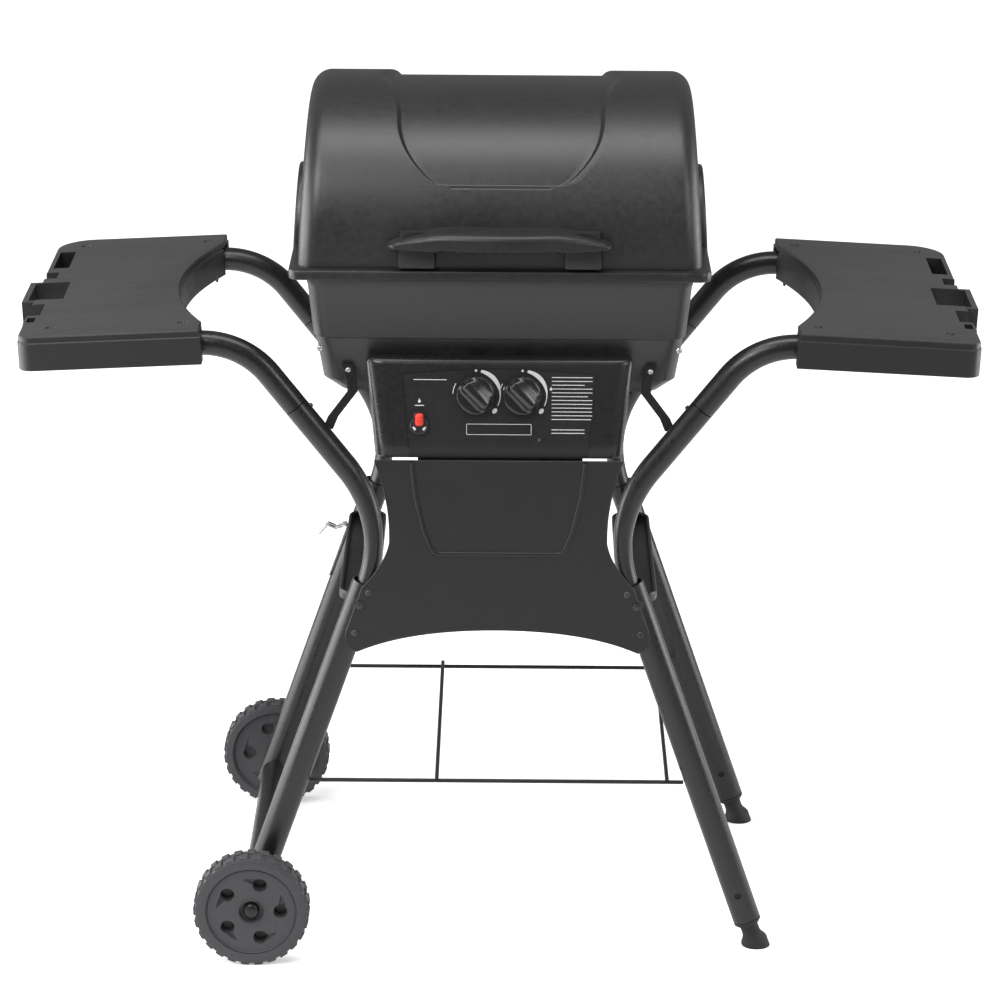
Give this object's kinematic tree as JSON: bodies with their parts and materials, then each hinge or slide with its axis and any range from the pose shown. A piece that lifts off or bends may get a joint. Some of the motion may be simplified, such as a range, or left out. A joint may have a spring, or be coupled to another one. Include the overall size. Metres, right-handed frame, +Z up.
{
  "type": "gas barbecue grill",
  "caption": "Cart-mounted gas grill: cast firebox under a hinged barrel lid, bent-tube frame with wheels at its left end, side tables, control console and burners.",
  "frame": {"origin": "on the ground under the middle of the cart", "axes": "+X to the user's right along the tables, +Y away from the user, +Z up; the console faces -Y"},
  "size_m": [1.3012, 0.64, 1.175],
  "materials": {
    "cast_black": "textured heat-proof black paint on cast aluminium",
    "frame_black": "satin black powder coat",
    "sheet_black": "satin black paint",
    "black_plastic": "moulded black plastic, satin",
    "table_grey": "moulded dark grey plastic, fine grain",
    "wheel_grey": "moulded dark grey plastic",
    "foot_rubber": "matt black",
    "signal_red": "glossy red",
    "bright_steel": "bright plated steel",
    "heat_stained_steel": "stamped steel, heat stained",
    "grate_iron": "porcelain-coated wire",
    "brass": "turned brass",
    "ceramic": "glazed ceramic"
  },
  "bodies": {
    "cart": {"firebox": "cast_black", "leg_front_left": "frame_black", "leg_front_right": "frame_black", "leg_rear_left": "frame_black", "leg_rear_right": "frame_black", "mid_tube_front_left": "frame_black", "mid_tube_front_right": "frame_black", "mid_tube_rear_left": "frame_black", "mid_tube_rear_right": "frame_black", "arm_tube_front_left": "frame_black", "arm_tube_front_right": "frame_black", "arm_tube_rear_left": "frame_black", "arm_tube_rear_right": "frame_black", "axle_tube": "frame_black", "firebox_strap_front_left": "sheet_black", "firebox_strap_front_right": "sheet_black", "firebox_strap_rear_left": "sheet_black", "firebox_strap_rear_right": "sheet_black", "side_channel_left": "sheet_black", "side_channel_right": "sheet_black", "tank_wire_front": "sheet_black", "tank_wire_rear": "sheet_black", "tank_cross_wire_left": "sheet_black", "tank_cross_wire_right": "sheet_black", "control_console": "sheet_black", "skirt_panel": "sheet_black", "igniter_bezel": "black_plastic", "axle_cap_front": "black_plastic", "axle_cap_rear": "black_plastic", "side_table_left": "table_grey", "side_table_right": "table_grey", "foot_front": "foot_rubber", "foot_rear": "foot_rubber", "hinge_pin_left": "bright_steel", "hinge_pin_right": "bright_steel", "wire_hook": "bright_steel", "axle_rod": "bright_steel", "grease_cup": "bright_steel", "grease_cup_clip": "bright_steel", "heat_tent": "heat_stained_steel", "burner_left": "heat_stained_steel", "burner_right": "heat_stained_steel", "cooking_grate": "grate_iron", "gas_manifold": "brass", "valve_left": "brass", "valve_right": "brass", "igniter_electrode": "ceramic"},
    "lid": {"lid": "cast_black", "lid_handle": "black_plastic"},
    "warming_rack": {"warming_rack": "bright_steel"},
    "rack_swing_leg": {"rack_swing_leg": "bright_steel"},
    "plunger_left": {"valve_plunger_left": "brass"},
    "plunger_right": {"valve_plunger_right": "brass"},
    "knob_left": {"knob_left": "black_plastic", "valve_stem_left": "bright_steel"},
    "knob_right": {"knob_right": "black_plastic", "valve_stem_right": "bright_steel"},
    "igniter_button": {"igniter_button": "signal_red"},
    "wheel_front": {"wheel_front": "wheel_grey"},
    "wheel_rear": {"wheel_rear": "wheel_grey"}
  },
  "joints": [
    {"name": "lid_hinge", "type": "hinge", "parent": "cart", "child": "lid", "pos_m": [0, 0.244, 0.946], "axis": [-1, 0, 0], "range_deg": [0, 90]},
    {"name": "rack_pivot", "type": "hinge", "parent": "lid", "child": "warming_rack", "pos_m": [0, 0.13, 1.052], "axis": [-1, 0, 0], "range_deg": [-90, 0]},
    {"name": "swing_leg_pivot", "type": "hinge", "parent": "cart", "child": "rack_swing_leg", "pos_m": [0, 0.094, 0.93], "axis": [-1, 0, 0], "range_deg": [0, 90]},
    {"name": "knob_left_push", "type": "slide", "parent": "cart", "child": "plunger_left", "axis": [0, 0.985, -0.1728], "range_m": [0, 0.0025], "stiffness_N_per_m": 600},
    {"name": "knob_left_turn", "type": "hinge", "parent": "plunger_left", "child": "knob_left", "pos_m": [-0.031, -0.23325, 0.789], "axis": [0, -0.985, 0.1728], "range_deg": [0, 135]},
    {"name": "knob_right_push", "type": "slide", "parent": "cart", "child": "plunger_right", "axis": [0, 0.985, -0.1728], "range_m": [0, 0.0025], "stiffness_N_per_m": 600},
    {"name": "knob_right_turn", "type": "hinge", "parent": "plunger_right", "child": "knob_right", "pos_m": [0.031, -0.23325, 0.789], "axis": [0, -0.985, 0.1728], "range_deg": [0, 135]},
    {"name": "igniter_push", "type": "slide", "parent": "cart", "child": "igniter_button", "axis": [0, 0.985, -0.1728], "range_m": [0, 0.005], "stiffness_N_per_m": 500},
    {"name": "wheel_front_spin", "type": "hinge", "parent": "cart", "child": "wheel_front", "pos_m": [-0.33326, -0.3015, 0.0795], "axis": [0, 1, 0], "continuous": true},
    {"name": "wheel_rear_spin", "type": "hinge", "parent": "cart", "child": "wheel_rear", "pos_m": [-0.33326, 0.3015, 0.0795], "axis": [0, 1, 0], "continuous": true}
  ],
  "couplings": [
    {"joint": "rack_pivot", "follows": "lid_hinge", "ratio": -1},
    {"joint": "swing_leg_pivot", "follows": "lid_hinge", "ratio": 1}
  ]
}
